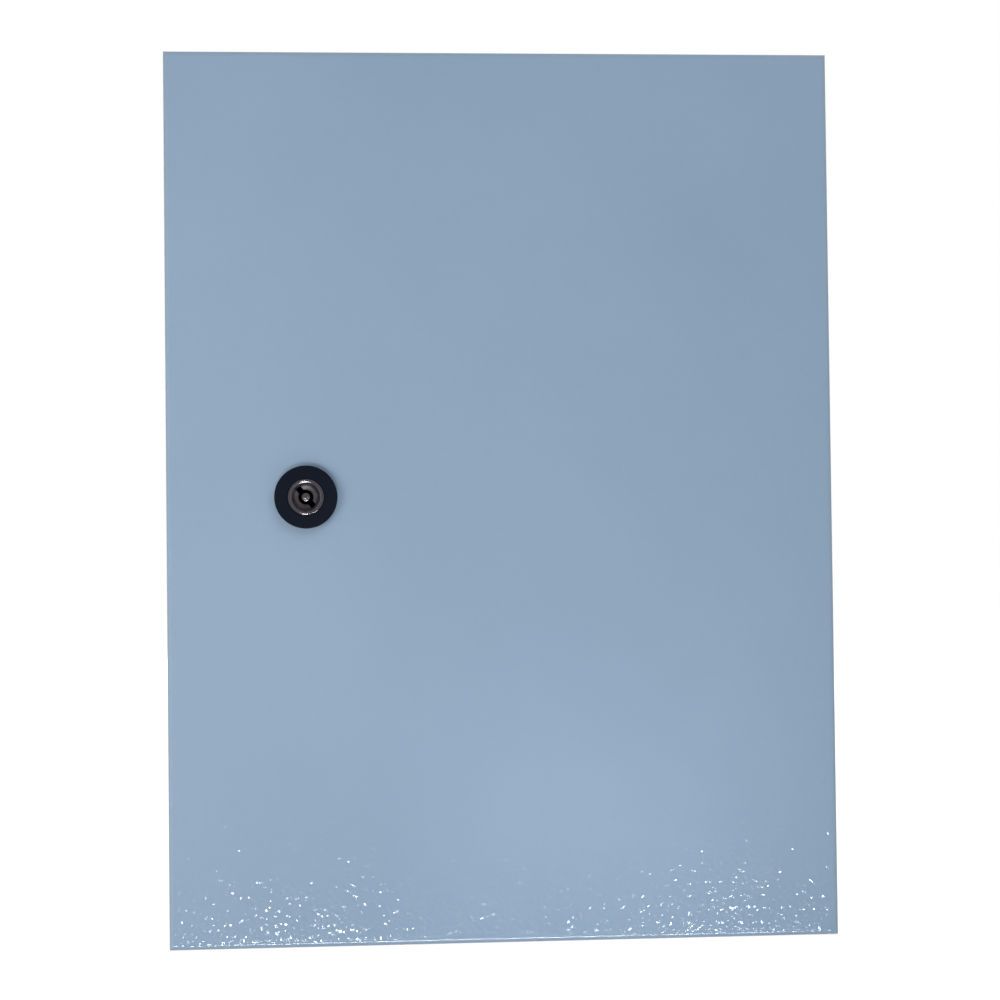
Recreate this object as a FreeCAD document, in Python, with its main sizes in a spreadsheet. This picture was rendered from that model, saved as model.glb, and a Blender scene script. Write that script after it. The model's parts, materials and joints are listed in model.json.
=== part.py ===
import FreeCAD, Part
import os
import re
import Sketcher

# Wall-mounting sheet-steel enclosure, 300 x 400 x 200 mm, in millimetres.
# +X is right, +Y goes back to the wall, +Z is up, seen from in front of the door.
# The origin is the middle of the four wall-fixing holes, on the rear face.

SIZES = {
    # the whole enclosure
    "door_width": 300,
    "door_height": 400,
    "enclosure_depth": 200,
    # folded sheet
    "body_sheet": 1.5,
    "door_sheet": 1.5,
    "fold_inner": 1.0,
    # door edge and the body's front edge
    "door_return": 15,
    "door_gap": 3,
    "flange_width": 28,
    # foamed door seal
    "seal_width": 12,
    "seal_height": 6,
    "seal_inner_corner": 2,
    "seal_clearance": 0.3,
    # rear panel and wall-fixing holes
    "rear_return": 12,
    "rear_corner_notch": 3,
    "wall_hole": 8.5,
    "wall_hole_inset": 20,
    # mounting plate
    "plate_margin": 30,
    "plate_sheet": 2,
    "plate_return": 10,
    "plate_hole_clearance": 0.5,
    "plate_stud_inset": 15,
    "plate_stud_thread": 8,
    "plate_stud_reach": 12,
    "spacer_flats": 15,
    "spacer_length": 16,
    "plate_nut_flats": 13,
    "plate_nut_height": 6.5,
    "thread_clearance": 0.05,
    # cable entry in the bottom, closed by a gland plate
    "entry_side_margin": 50,
    "entry_front_margin": 65,
    "entry_rear_margin": 55,
    "gland_overlap": 20,
    "gland_sheet": 1.5,
    "gland_seal_thickness": 3,
    "gland_seal_setback": 2,
    "gland_seal_width": 8,
    "gland_stud_from_edge": 5,
    "gland_stud_thread": 5,
    "gland_stud_length": 14,
    "gland_nut_flats": 8,
    "gland_nut_height": 4.7,
    "gland_hole_clearance": 0.5,
    # earthing studs
    "earth_thread": 6,
    "earth_length": 16,
    "earth_nut_flats": 10,
    "earth_nut_height": 5,
    "earth_from_bottom": 50,
    "body_earth_from_front": 40,
    "door_earth_from_right": 50,
    # concealed hinges
    "hinge_from_end": 60,
    "hinge_inset_share": 0.25,
    "hinge_front_inset": 7,
    "hinge_pin": 5,
    "hinge_running_clearance": 0.05,
    "hinge_ear": 4,
    "hinge_fork_gap": 14,
    "hinge_end_clearance": 0.3,
    "hinge_skin_clearance": 0.7,
    "hinge_barrel_clearance": 0.5,
    "hinge_sweep_clearance": 0.5,
    "hinge_lip_clearance": 0.2,
    "hinge_seal_clearance": 1.1,
    "hinge_web": 7,
    "pin_head_across": 8,
    "pin_head_height": 1.5,
    "pin_tail": 2,
    # quarter-turn lock
    "lock_from_left": 62,
    "lock_head_across": 28,
    "lock_head_height": 4.4,
    "lock_barrel_across": 21.8,
    "lock_barrel_flats": 20,
    "lock_hole_clearance": 0.25,
    "lock_nut_flats": 27,
    "lock_nut_height": 5,
    "lock_running_clearance": 0.08,
    "lock_end_play": 0.2,
    "insert_across": 16.3,
    "insert_setback": 0.5,
    "insert_face_height": 3,
    "insert_rim_width": 1.3,
    "insert_rim_height": 0.45,
    "insert_shank": 12,
    "socket_across": 6.4,
    "socket_mouth": 10.2,
    "socket_mouth_depth": 0.9,
    "socket_depth": 8,
    "socket_pin": 3.8,
    "wing_across": 11,
    "wing_width": 2.4,
    "wing_angle": -50,
    "cam_clearance": 1.2,
    "cam_thickness": 3,
    "cam_reach": 45,
    "cam_width": 14,
    "cam_hub": 18,
    "cam_lead": 1.6,
    "cam_square": 8,
    "cam_bolt_thread": 6,
    "cam_bolt_length": 12,
    "cam_bolt_flats": 10,
    "cam_bolt_head": 4,
}

# Places worked out from the sizes. Depths with "behind" are from the door's face.
BODY_DEPTH = "(enclosure_depth - door_return - door_gap)"
LIP_BEHIND = "(door_sheet + seal_height + seal_clearance)"
LIP_OUTSIDE_X = "(door_width/2 - flange_width)"
LIP_OUTSIDE_Z = "(door_height/2 - flange_width)"
OPENING_X = f"({LIP_OUTSIDE_X} - body_sheet)"
OPENING_Z = f"({LIP_OUTSIDE_Z} - body_sheet)"
BODY_FOLD = "(fold_inner + body_sheet)"
WALL_HOLE_X = "(door_width/2 - wall_hole_inset)"
WALL_HOLE_Z = "(door_height/2 - wall_hole_inset)"
PLATE_HALF_X = "(door_width/2 - plate_margin)"
PLATE_HALF_Z = "(door_height/2 - plate_margin)"
PLATE_BACK = "(body_sheet + spacer_length)"
PLATE_FRONT = f"({PLATE_BACK} + plate_sheet)"
BOTTOM_INSIDE = "(-door_height/2 + body_sheet)"
GLAND_UNDER = f"({BOTTOM_INSIDE} + gland_seal_thickness)"
GLAND_TOP = f"({GLAND_UNDER} + gland_sheet)"
ENTRY_HALF_X = "(door_width/2 - entry_side_margin)"
ENTRY_HALF_Y = "((enclosure_depth - entry_front_margin - entry_rear_margin)/2)"
ENTRY_MIDDLE = "(-(enclosure_depth - entry_front_margin + entry_rear_margin)/2)"
EARTH_Z = "(-door_height/2 + earth_from_bottom)"
CAM_BEHIND = "(door_return + door_gap + body_sheet + cam_clearance)"

doc = FreeCAD.newDocument("Enclosure")
sheet = doc.addObject("Spreadsheet::Sheet", "Sizes")
for row, (alias, value) in enumerate(SIZES.items(), 1):
    sheet.set(f"A{row}", alias)
    sheet.set(f"B{row}", str(value))
    sheet.setAlias(f"B{row}", alias)
doc.recompute()


# Helpers for drawing on the sheet's values

def formula(text):
    # every alias has an underscore, which no function name has
    return re.sub(r"[a-z]+(?:_[a-z]+)+", lambda found: "Sizes." + found.group(), text)


def bind(thing, prop, text):
    thing.setExpression(prop, formula(text))


def new_body(name):
    body = doc.addObject("PartDesign::Body", name)
    body.Label = name
    return body


def sketch_on(body, role, offset="0", x="0", turn=None):
    sketch = body.newObject("Sketcher::SketchObject", body.Name + "_sketch")
    plane = next(item for item in body.Origin.OriginFeatures if item.Role == role)
    sketch.AttachmentSupport = [(plane, "")]
    sketch.MapMode = "FlatFace"
    bind(sketch, "AttachmentOffset.Base.z", offset)
    bind(sketch, "AttachmentOffset.Base.x", x)
    if turn:
        upright = FreeCAD.Vector(0, 0, 1)
        sketch.AttachmentOffset = FreeCAD.Placement(FreeCAD.Vector(), FreeCAD.Rotation(upright, 1))
        bind(sketch, "AttachmentOffset.Rotation.Angle", turn)
    return sketch


def fix(sketch, kind, *where, text):
    index = sketch.addConstraint(Sketcher.Constraint(kind, *where, 1.0))
    name = f"size{index}"
    sketch.renameConstraint(index, name)
    bind(sketch, "Constraints." + name, text)


def fix_point(sketch, element, end, x, y):
    fix(sketch, "DistanceX", -1, 1, element, end, text=x)
    fix(sketch, "DistanceY", -1, 1, element, end, text=y)


def polygon(sketch, points):
    first = sketch.GeometryCount
    count = len(points)
    rough = [FreeCAD.Vector(i + 1, i * i, 0) for i in range(count)]
    for i in range(count):
        sketch.addGeometry(Part.LineSegment(rough[i], rough[(i + 1) % count]))
    for i in range(count):
        following = first + (i + 1) % count
        sketch.addConstraint(Sketcher.Constraint("Coincident", first + i, 2, following, 1))
    for i, (x, y) in enumerate(points):
        fix_point(sketch, first + i, 1, x, y)


def rectangle(sketch, left, right, low, high):
    polygon(sketch, [(left, low), (right, low), (right, high), (left, high)])


def centred_rectangle(sketch, half_x, half_y, x="0", y="0"):
    rectangle(sketch, f"{x} - {half_x}", f"{x} + {half_x}", f"{y} - {half_y}", f"{y} + {half_y}")


def circle(sketch, across, x="0", y="0"):
    index = sketch.addGeometry(Part.Circle(FreeCAD.Vector(1, 1, 0), FreeCAD.Vector(0, 0, 1), 2))
    fix_point(sketch, index, 3, x, y)
    fix(sketch, "Diameter", index, text=across)


def hexagon(sketch, flats, x="0", y="0"):
    corner = f"{flats}/sqrt(3)"
    points = [(f"{x} + {corner}*{step}", f"{y} + {flats}/2*{side}")
              for step, side in ((1, 0), (0.5, 1), (-0.5, 1), (-1, 0), (-0.5, -1), (0.5, -1))]
    polygon(sketch, points)


def flatted_circle(sketch, across, flats):
    # two arcs left and right of the centre, joined by the flats above and below
    radius = 10
    lean = 1.1
    for turn in (0, 3.14159):
        whole = Part.Circle(FreeCAD.Vector(0, 0, 0), FreeCAD.Vector(0, 0, 1), radius)
        arc = sketch.addGeometry(Part.ArcOfCircle(whole, turn - lean, turn + lean))
        sketch.addConstraint(Sketcher.Constraint("Coincident", arc, 3, -1, 1))
        fix(sketch, "Radius", arc, text=f"({across})/2")
    for end_y, right_end, left_end in (("", 2, 1), ("-", 1, 2)):
        flat = sketch.addGeometry(Part.LineSegment(FreeCAD.Vector(4, 0, 0), FreeCAD.Vector(-4, 0, 0)))
        sketch.addConstraint(Sketcher.Constraint("Coincident", flat, 1, 0, right_end))
        sketch.addConstraint(Sketcher.Constraint("Coincident", flat, 2, 1, left_end))
        fix(sketch, "DistanceY", -1, 1, flat, 1, text=f"{end_y}({flats})/2")
        fix(sketch, "DistanceY", -1, 1, flat, 2, text=f"{end_y}({flats})/2")


def feature(body, kind, sketch, length, back=False, both_ways=False):
    item = body.newObject("PartDesign::" + kind, body.Name + "_" + kind.lower())
    item.Profile = sketch
    bind(item, "Length", length)
    item.Reversed = back
    item.Midplane = both_ways
    doc.recompute()
    return item


def pad(body, sketch, length, back=False, both_ways=False):
    return feature(body, "Pad", sketch, length, back, both_ways)


def pocket(body, sketch, length, back=False, both_ways=False):
    before = body.Shape.Volume
    item = feature(body, "Pocket", sketch, length, back, both_ways)
    if body.Shape.Volume > before - 1e-6:
        raise RuntimeError(f"{item.Label} cuts nothing")
    return item


def turned(body, role, points):
    # a profile of radius and height, turned about the sketch's upright axis
    sketch = sketch_on(body, role)
    polygon(sketch, points)
    item = body.newObject("PartDesign::Revolution", body.Name + "_turned")
    item.Profile = sketch
    item.ReferenceAxis = (sketch, ["V_Axis"])
    item.Angle = 360
    doc.recompute()
    return item


def dress(body, kind, prop, amount, chosen):
    base = body.Tip
    names = [f"Edge{n}" for n, edge in enumerate(base.Shape.Edges, 1) if chosen(edge)]
    item = body.newObject("PartDesign::" + kind, body.Name + "_" + kind.lower())
    item.Base = (base, names)
    bind(item, prop, amount)
    doc.recompute()
    return item


def fillet(body, radius, chosen):
    return dress(body, "Fillet", "Radius", radius, chosen)


def chamfer(body, size, chosen):
    return dress(body, "Chamfer", "Size", size, chosen)


def mirrored(body, role):
    item = body.newObject("PartDesign::Mirrored", body.Name + "_mirror")
    item.TransformMode = "Whole shape"
    plane = next(part for part in body.Origin.OriginFeatures if part.Role == role)
    item.MirrorPlane = (plane, [""])
    body.Tip = item
    doc.recompute()
    return item


# Choosing edges and faces by where they lie

def reach(item, axis):
    box = item.BoundBox
    return {"x": (box.XMin, box.XMax), "y": (box.YMin, box.YMax), "z": (box.ZMin, box.ZMax)}[axis]


def lies_at(item, axis, value):
    low, high = reach(item, axis)
    return abs(low - value) < 1e-4 and abs(high - value) < 1e-4


def runs_along(item, axis):
    return all(high - low < 1e-4 for low, high in
               (reach(item, other) for other in "xyz" if other != axis))


def tray(body, half_x, half_z, start, depth, wall, opens_back, folded_corners):
    # a folded sheet with four returns; its corners along Y are folded too, or cut and left sharp
    sketch = sketch_on(body, "XZ_Plane", start)
    centred_rectangle(sketch, half_x, half_z)
    pad(body, sketch, depth)
    front, rear = reach(body.Shape, "y")
    closed = front if opens_back else rear
    fillet(body, f"(fold_inner + {wall})",
           lambda edge: lies_at(edge, "y", closed) or (folded_corners and runs_along(edge, "y")))
    hollow = sketch_on(body, "XZ_Plane", start if opens_back else f"{start} + {depth}")
    centred_rectangle(hollow, f"({half_x} - {wall})", f"({half_z} - {wall})")
    pocket(body, hollow, f"{depth} - {wall}", back=opens_back)
    half = {axis: reach(body.Shape, axis)[1] - getattr(sheet, wall) for axis in "xz"}

    def inner(edge):
        low, high = reach(edge, "y")
        within = all(max(map(abs, reach(edge, axis))) < half[axis] + 1e-4 for axis in "xz")
        return within and not (lies_at(edge, "y", front) or lies_at(edge, "y", rear)) and (
            folded_corners or high - low < 1e-4)

    fillet(body, "fold_inner", inner)


# The body: wrapper with its front flange and lip, and the rear panel welded inside it

def make_body_shell():
    body = new_body("body_shell")
    tray(body, "door_width/2", "door_height/2", "0", BODY_DEPTH, "body_sheet", True, True)
    flange = reach(body.Shape, "y")[0]

    opening = sketch_on(body, "XZ_Plane", BODY_DEPTH)
    centred_rectangle(opening, OPENING_X, OPENING_Z)
    pocket(body, opening, "body_sheet*2")

    lip = sketch_on(body, "XZ_Plane", f"{BODY_DEPTH} - body_sheet")
    centred_rectangle(lip, LIP_OUTSIDE_X, LIP_OUTSIDE_Z)
    centred_rectangle(lip, OPENING_X, OPENING_Z)
    pad(body, lip, f"enclosure_depth - {LIP_BEHIND} - {BODY_DEPTH} + body_sheet")

    outside = sheet.door_width / 2 - sheet.flange_width

    def on_lip(edge):
        return max(map(abs, reach(edge, "x"))) < outside + 1e-3

    fillet(body, "fold_inner", lambda edge: lies_at(edge, "y", flange) and on_lip(edge))
    fillet(body, BODY_FOLD, lambda edge: lies_at(edge, "y", flange + sheet.body_sheet) and on_lip(edge))

    entry = sketch_on(body, "XY_Plane", "-door_height/2")
    entry_rectangle(entry, "0")
    pocket(body, entry, "body_sheet*2", back=True)
    return body


def make_rear_panel():
    body = new_body("rear_panel")
    tray(body, "(door_width/2 - body_sheet)", "(door_height/2 - body_sheet)", "0", "rear_return",
         "body_sheet", False, False)
    # the returns stop short of each other at the corners, inside the wrapper's folds
    notches = sketch_on(body, "XZ_Plane", "rear_return")
    edge_x, edge_z = "(door_width/2 - body_sheet)", "(door_height/2 - body_sheet)"
    for low_x, high_x in ((f"-{edge_x}", f"-{edge_x} + rear_corner_notch"),
                          (f"{edge_x} - rear_corner_notch", edge_x)):
        for low_z, high_z in ((f"-{edge_z}", f"-{edge_z} + rear_corner_notch"),
                              (f"{edge_z} - rear_corner_notch", edge_z)):
            rectangle(notches, low_x, high_x, low_z, high_z)
    pocket(body, notches, "rear_return - body_sheet*0.6")
    holes = sketch_on(body, "XZ_Plane")
    for side_x in ("-", ""):
        for side_z in ("-", ""):
            circle(holes, "wall_hole", side_x + WALL_HOLE_X, side_z + WALL_HOLE_Z)
    pocket(body, holes, "body_sheet*2", back=True)
    return body


# Studs and hexagonal pieces

def stud(name, role, start, length, thread, x, z, back=False):
    body = new_body(name)
    sketch = sketch_on(body, role, start)
    circle(sketch, thread, x, z)
    pad(body, sketch, length, back)
    return body


def four_corners(body):
    mirrored(body, "YZ_Plane")
    mirrored(body, "XY_Plane")
    return body


def nut(name, role, start, height, flats, bore, x, z):
    body = new_body(name)
    sketch = sketch_on(body, role, start)
    hexagon(sketch, flats, x, z)
    circle(sketch, bore, x, z)
    pad(body, sketch, height)
    return body


# The mounting plate, on four studs of the rear panel

def make_mounting_plate():
    body = new_body("mounting_plate")
    half = PLATE_HALF_X
    inner = f"({half} - plate_sheet)"
    back_edge = f"-({PLATE_FRONT} - plate_return)"
    section = sketch_on(body, "XY_Plane")
    polygon(section, [
        (f"-{half}", back_edge), (f"-{half}", f"-{PLATE_FRONT}"),
        (half, f"-{PLATE_FRONT}"), (half, back_edge),
        (inner, back_edge), (inner, f"-{PLATE_BACK}"),
        (f"-{inner}", f"-{PLATE_BACK}"), (f"-{inner}", back_edge)])
    pad(body, section, f"{PLATE_HALF_Z}*2", both_ways=True)
    front = reach(body.Shape, "y")[0]
    fillet(body, "(fold_inner + plate_sheet)",
           lambda edge: runs_along(edge, "z") and lies_at(edge, "y", front))
    side = reach(body.Shape, "x")[1]
    fillet(body, "fold_inner", lambda edge: runs_along(edge, "z")
           and lies_at(edge, "y", front + sheet.plate_sheet)
           and abs(edge.BoundBox.XMin) < side - sheet.plate_sheet / 2)
    holes = sketch_on(body, "XZ_Plane", PLATE_FRONT)
    for side_x in ("-", ""):
        for side_z in ("-", ""):
            circle(holes, "(plate_stud_thread + plate_hole_clearance)",
                   f"{side_x}({PLATE_HALF_X} - plate_stud_inset)",
                   f"{side_z}({PLATE_HALF_Z} - plate_stud_inset)")
    pocket(body, holes, "plate_sheet")
    return body


def make_plate_fixings():
    x = f"({PLATE_HALF_X} - plate_stud_inset)"
    z = f"({PLATE_HALF_Z} - plate_stud_inset)"
    bore = "(plate_stud_thread + thread_clearance*2)"
    spacers = new_body("plate_spacers")
    hexes = sketch_on(spacers, "XZ_Plane", "body_sheet")
    hexagon(hexes, "spacer_flats", x, z)
    pad(spacers, hexes, "spacer_length")
    studs = stud("plate_studs", "XZ_Plane", PLATE_BACK, "plate_sheet + plate_stud_reach",
                 "plate_stud_thread", x, z)
    nuts = nut("plate_nuts", "XZ_Plane", PLATE_FRONT, "plate_nut_height", "plate_nut_flats", bore, x, z)
    return [four_corners(body) for body in (studs, spacers, nuts)]


# The cable entry: foam seal, gland plate, studs and nuts

def entry_rectangle(sketch, wider):
    centred_rectangle(sketch, f"({ENTRY_HALF_X} + {wider})", f"({ENTRY_HALF_Y} + {wider})", y=ENTRY_MIDDLE)


def gland_places():
    from_entry = "gland_overlap - gland_stud_from_edge"
    return [(f"{column}({ENTRY_HALF_X} + {from_entry})",
             f"{ENTRY_MIDDLE} {row} ({ENTRY_HALF_Y} + {from_entry})")
            for column in ("-", "") for row in ("-", "+")]


def make_gland_plate():
    body = new_body("gland_plate")
    outline = sketch_on(body, "XY_Plane", GLAND_UNDER)
    entry_rectangle(outline, "gland_overlap")
    for x, y in gland_places():
        circle(outline, "(gland_stud_thread + gland_hole_clearance)", x, y)
    pad(body, outline, "gland_sheet")
    return body


def make_gland_gasket():
    body = new_body("gland_gasket")
    outline = sketch_on(body, "XY_Plane", BOTTOM_INSIDE)
    entry_rectangle(outline, "(gland_seal_setback + gland_seal_width)")
    entry_rectangle(outline, "gland_seal_setback")
    pad(body, outline, "gland_seal_thickness")
    return body


def make_gland_fixings():
    studs = new_body("gland_studs")
    shanks = sketch_on(studs, "XY_Plane", BOTTOM_INSIDE)
    nuts = new_body("gland_nuts")
    hexes = sketch_on(nuts, "XY_Plane", GLAND_TOP)
    for x, y in gland_places():
        circle(shanks, "gland_stud_thread", x, y)
        hexagon(hexes, "gland_nut_flats", x, y)
        circle(hexes, "(gland_stud_thread + thread_clearance*2)", x, y)
    pad(studs, shanks, "gland_stud_length")
    pad(nuts, hexes, "gland_nut_height")
    return [studs, nuts]


# Earthing studs on the right wall of the body and on the door

def make_earthing():
    wall = "(door_width/2 - body_sheet)"
    body_y = "(body_earth_from_front - enclosure_depth)"
    door_x = "(door_width/2 - door_earth_from_right)"
    door_start = "(enclosure_depth - door_sheet)"
    bore = "(earth_thread + thread_clearance*2)"
    body_stud = stud("body_earth_stud", "YZ_Plane", wall, "earth_length", "earth_thread",
                     body_y, EARTH_Z, back=True)
    body_nut = nut("body_earth_nut", "YZ_Plane", f"{wall} - earth_nut_height", "earth_nut_height",
                   "earth_nut_flats", bore, body_y, EARTH_Z)
    door_stud = stud("door_earth_stud", "XZ_Plane", door_start, "earth_length", "earth_thread",
                     door_x, EARTH_Z, back=True)
    door_nut = nut("door_earth_nut", "XZ_Plane", f"{door_start} - earth_nut_height", "earth_nut_height",
                   "earth_nut_flats", bore, door_x, EARTH_Z)
    return [body_stud, body_nut, door_stud, door_nut]


# The door: folded pan, foamed seal along the body's lip

def make_door_panel():
    body = new_body("door_panel")
    tray(body, "door_width/2", "door_height/2", "(enclosure_depth - door_return)", "door_return",
         "door_sheet", True, False)
    hole = sketch_on(body, "XZ_Plane", "enclosure_depth", x="lock_from_left - door_width/2")
    flatted_circle(hole, "lock_barrel_across + lock_hole_clearance*2",
                   "lock_barrel_flats + lock_hole_clearance*2")
    pocket(body, hole, "door_sheet*2")
    return body


def make_door_gasket():
    body = new_body("door_gasket")
    ring_sketch = sketch_on(body, "XZ_Plane", "enclosure_depth - door_sheet - seal_height")
    middle_x = f"({LIP_OUTSIDE_X} - body_sheet/2)"
    middle_z = f"({LIP_OUTSIDE_Z} - body_sheet/2)"
    centred_rectangle(ring_sketch, f"({middle_x} + seal_width/2)", f"({middle_z} + seal_width/2)")
    centred_rectangle(ring_sketch, f"({middle_x} - seal_width/2)", f"({middle_z} - seal_width/2)")
    pad(body, ring_sketch, "seal_height")
    outer = reach(body.Shape, "x")[1]
    inner = outer - sheet.seal_width
    rear = reach(body.Shape, "y")[1]
    fillet(body, "(seal_inner_corner + seal_width)", lambda edge: runs_along(edge, "y")
           and abs(abs(edge.BoundBox.XMin) - outer) < 1e-4)
    fillet(body, "seal_inner_corner", lambda edge: runs_along(edge, "y")
           and abs(abs(edge.BoundBox.XMin) - inner) < 1e-4)
    chamfer(body, "min(seal_width; seal_height*2)*0.25", lambda edge: lies_at(edge, "y", rear))
    return body


# The concealed hinges, drawn about the pin's axis with the door's face in front

SIDE_INSET = "(flange_width*hinge_inset_share)"
FLANGE_BACK = "(door_return + door_gap - hinge_front_inset)"
EYE_RADIUS = f"(min(hinge_front_inset; {SIDE_INSET}) - door_sheet - hinge_skin_clearance)"
SWEEP = f"(sqrt({SIDE_INSET}^2 + (door_return - hinge_front_inset)^2) + hinge_sweep_clearance)"
RISER_LEFT = f"-(flange_width - {SIDE_INSET} - fold_inner - hinge_lip_clearance)"
SEAL_RIGHT = f"(flange_width + body_sheet/2 - seal_width/2 - {SIDE_INSET})"
ARM_LEFT = f"-({SEAL_RIGHT} - hinge_seal_clearance)"
SEAL_BACK = "(door_sheet + seal_height - hinge_front_inset + hinge_seal_clearance)"
FORK_HEIGHT = "(hinge_fork_gap + hinge_ear*2)"
PIN_BORE = "(hinge_pin + hinge_running_clearance*2)"
KNUCKLE_HEIGHT = "(hinge_fork_gap - hinge_end_clearance*2)"


def place_hinge(body, side):
    bind(body, "Placement.Base.x", f"door_width/2 - {SIDE_INSET}")
    bind(body, "Placement.Base.y", "hinge_front_inset - enclosure_depth")
    bind(body, "Placement.Base.z", f"{side}(door_height/2 - hinge_from_end)")


def make_hinge(name, side):
    bracket = new_body(f"hinge_{name}_bracket")
    arm = sketch_on(bracket, "XY_Plane")
    polygon(arm, [
        (RISER_LEFT, FLANGE_BACK), (f"-{SWEEP}", FLANGE_BACK), (f"-{SWEEP}", "0"),
        ("0", "0"), ("0", f"-{EYE_RADIUS}"), (ARM_LEFT, f"-{EYE_RADIUS}"),
        (ARM_LEFT, SEAL_BACK), (RISER_LEFT, SEAL_BACK)])
    pad(bracket, arm, FORK_HEIGHT, both_ways=True)
    front = reach(bracket.Shape, "y")[0]
    chamfer(bracket, f"{EYE_RADIUS}*0.4", lambda edge: runs_along(edge, "z")
            and lies_at(edge, "y", front) and edge.BoundBox.XMax < -sheet.hinge_pin)
    eye = sketch_on(bracket, "XY_Plane")
    circle(eye, f"{EYE_RADIUS}*2")
    pad(bracket, eye, FORK_HEIGHT, both_ways=True)
    # the slot for the door's knuckle leaves a web between the two ears
    slot = sketch_on(bracket, "XY_Plane")
    polygon(slot, [
        ("-flange_width", "-flange_width"), ("flange_width", "-flange_width"),
        ("flange_width", "flange_width"), (f"-{SWEEP}", "flange_width"),
        (f"-{SWEEP}", f"{FLANGE_BACK} - hinge_web"), ("-flange_width", f"{FLANGE_BACK} - hinge_web")])
    pocket(bracket, slot, "hinge_fork_gap", both_ways=True)
    bore = sketch_on(bracket, "XY_Plane")
    circle(bore, PIN_BORE)
    pocket(bracket, bore, f"{FORK_HEIGHT}*2", both_ways=True)

    knuckle = new_body(f"door_hinge_{name}")
    block = sketch_on(knuckle, "XY_Plane")
    skin = "-(hinge_front_inset - door_sheet)"
    wall = f"({SIDE_INSET} - door_sheet)"
    polygon(block, [("-hinge_pin", skin), (wall, skin), (wall, "hinge_pin"), ("0", "hinge_pin"),
                    ("0", "0"), ("-hinge_pin", "0")])
    pad(knuckle, block, KNUCKLE_HEIGHT, both_ways=True)
    corner_x = reach(knuckle.Shape, "x")[1]
    corner_y = reach(knuckle.Shape, "y")[0]
    fillet(knuckle, "fold_inner*1.3", lambda edge: runs_along(edge, "z")
           and lies_at(edge, "x", corner_x) and lies_at(edge, "y", corner_y))
    barrel = sketch_on(knuckle, "XY_Plane")
    circle(barrel, f"({wall} - hinge_barrel_clearance)*2")
    pad(knuckle, barrel, KNUCKLE_HEIGHT, both_ways=True)
    hole = sketch_on(knuckle, "XY_Plane")
    circle(hole, PIN_BORE)
    pocket(knuckle, hole, f"{KNUCKLE_HEIGHT}*2", both_ways=True)

    pin = new_body(f"hinge_{name}_pin")
    top = f"({FORK_HEIGHT}/2)"
    turned(pin, "XZ_Plane", [
        ("0", f"{top} + pin_head_height"), ("pin_head_across/2", f"{top} + pin_head_height"),
        ("pin_head_across/2", top), ("hinge_pin/2", top), ("hinge_pin/2", f"-{top} - pin_tail"),
        ("0", f"-{top} - pin_tail")])
    for body in (bracket, knuckle, pin):
        place_hinge(body, side)
    return [bracket, knuckle, pin]


# The quarter-turn lock, drawn about its axis with the door's face at zero

HEAD_FRONT = "(-lock_head_height)"
BARREL_END = f"({CAM_BEHIND} - lock_end_play/2)"
FACE_BORE = "(insert_across/2 + lock_running_clearance)"
SHANK_BORE = "(insert_shank/2 + lock_running_clearance)"
INSERT_FRONT = f"({HEAD_FRONT} + insert_setback)"
INSERT_DISH = f"({INSERT_FRONT} + insert_rim_height)"
INSERT_BACK = f"({INSERT_FRONT} + insert_face_height)"
CAM_BACK = f"({CAM_BEHIND} + cam_thickness)"
BOLT_HOLE = "(cam_bolt_thread + thread_clearance*2)"


def place_lock(body):
    bind(body, "Placement.Base.x", "lock_from_left - door_width/2")
    bind(body, "Placement.Base.y", "-enclosure_depth")
    return body


def make_lock_housing():
    body = new_body("lock_housing")
    rim = "lock_head_across/2"
    shoulder = f"{INSERT_BACK} + lock_end_play/2"
    turned(body, "XY_Plane", [
        (FACE_BORE, HEAD_FRONT), (rim, HEAD_FRONT), (rim, "0"), ("lock_barrel_across/2", "0"),
        ("lock_barrel_across/2", BARREL_END), (SHANK_BORE, BARREL_END), (SHANK_BORE, shoulder),
        (FACE_BORE, shoulder)])
    flats = sketch_on(body, "XZ_Plane", f"-{BARREL_END}")
    for low, high in (("lock_barrel_flats/2", "lock_barrel_across"),
                      ("-lock_barrel_across", "-lock_barrel_flats/2")):
        rectangle(flats, "-lock_barrel_across", "lock_barrel_across", low, high)
    pocket(body, flats, BARREL_END, back=True)
    return place_lock(body)


def make_lock_nut():
    return place_lock(nut("lock_nut", "XZ_Plane", "-(door_sheet + lock_nut_height)", "lock_nut_height",
                          "lock_nut_flats", "(lock_barrel_across + thread_clearance*2)", "0", "0"))


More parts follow.
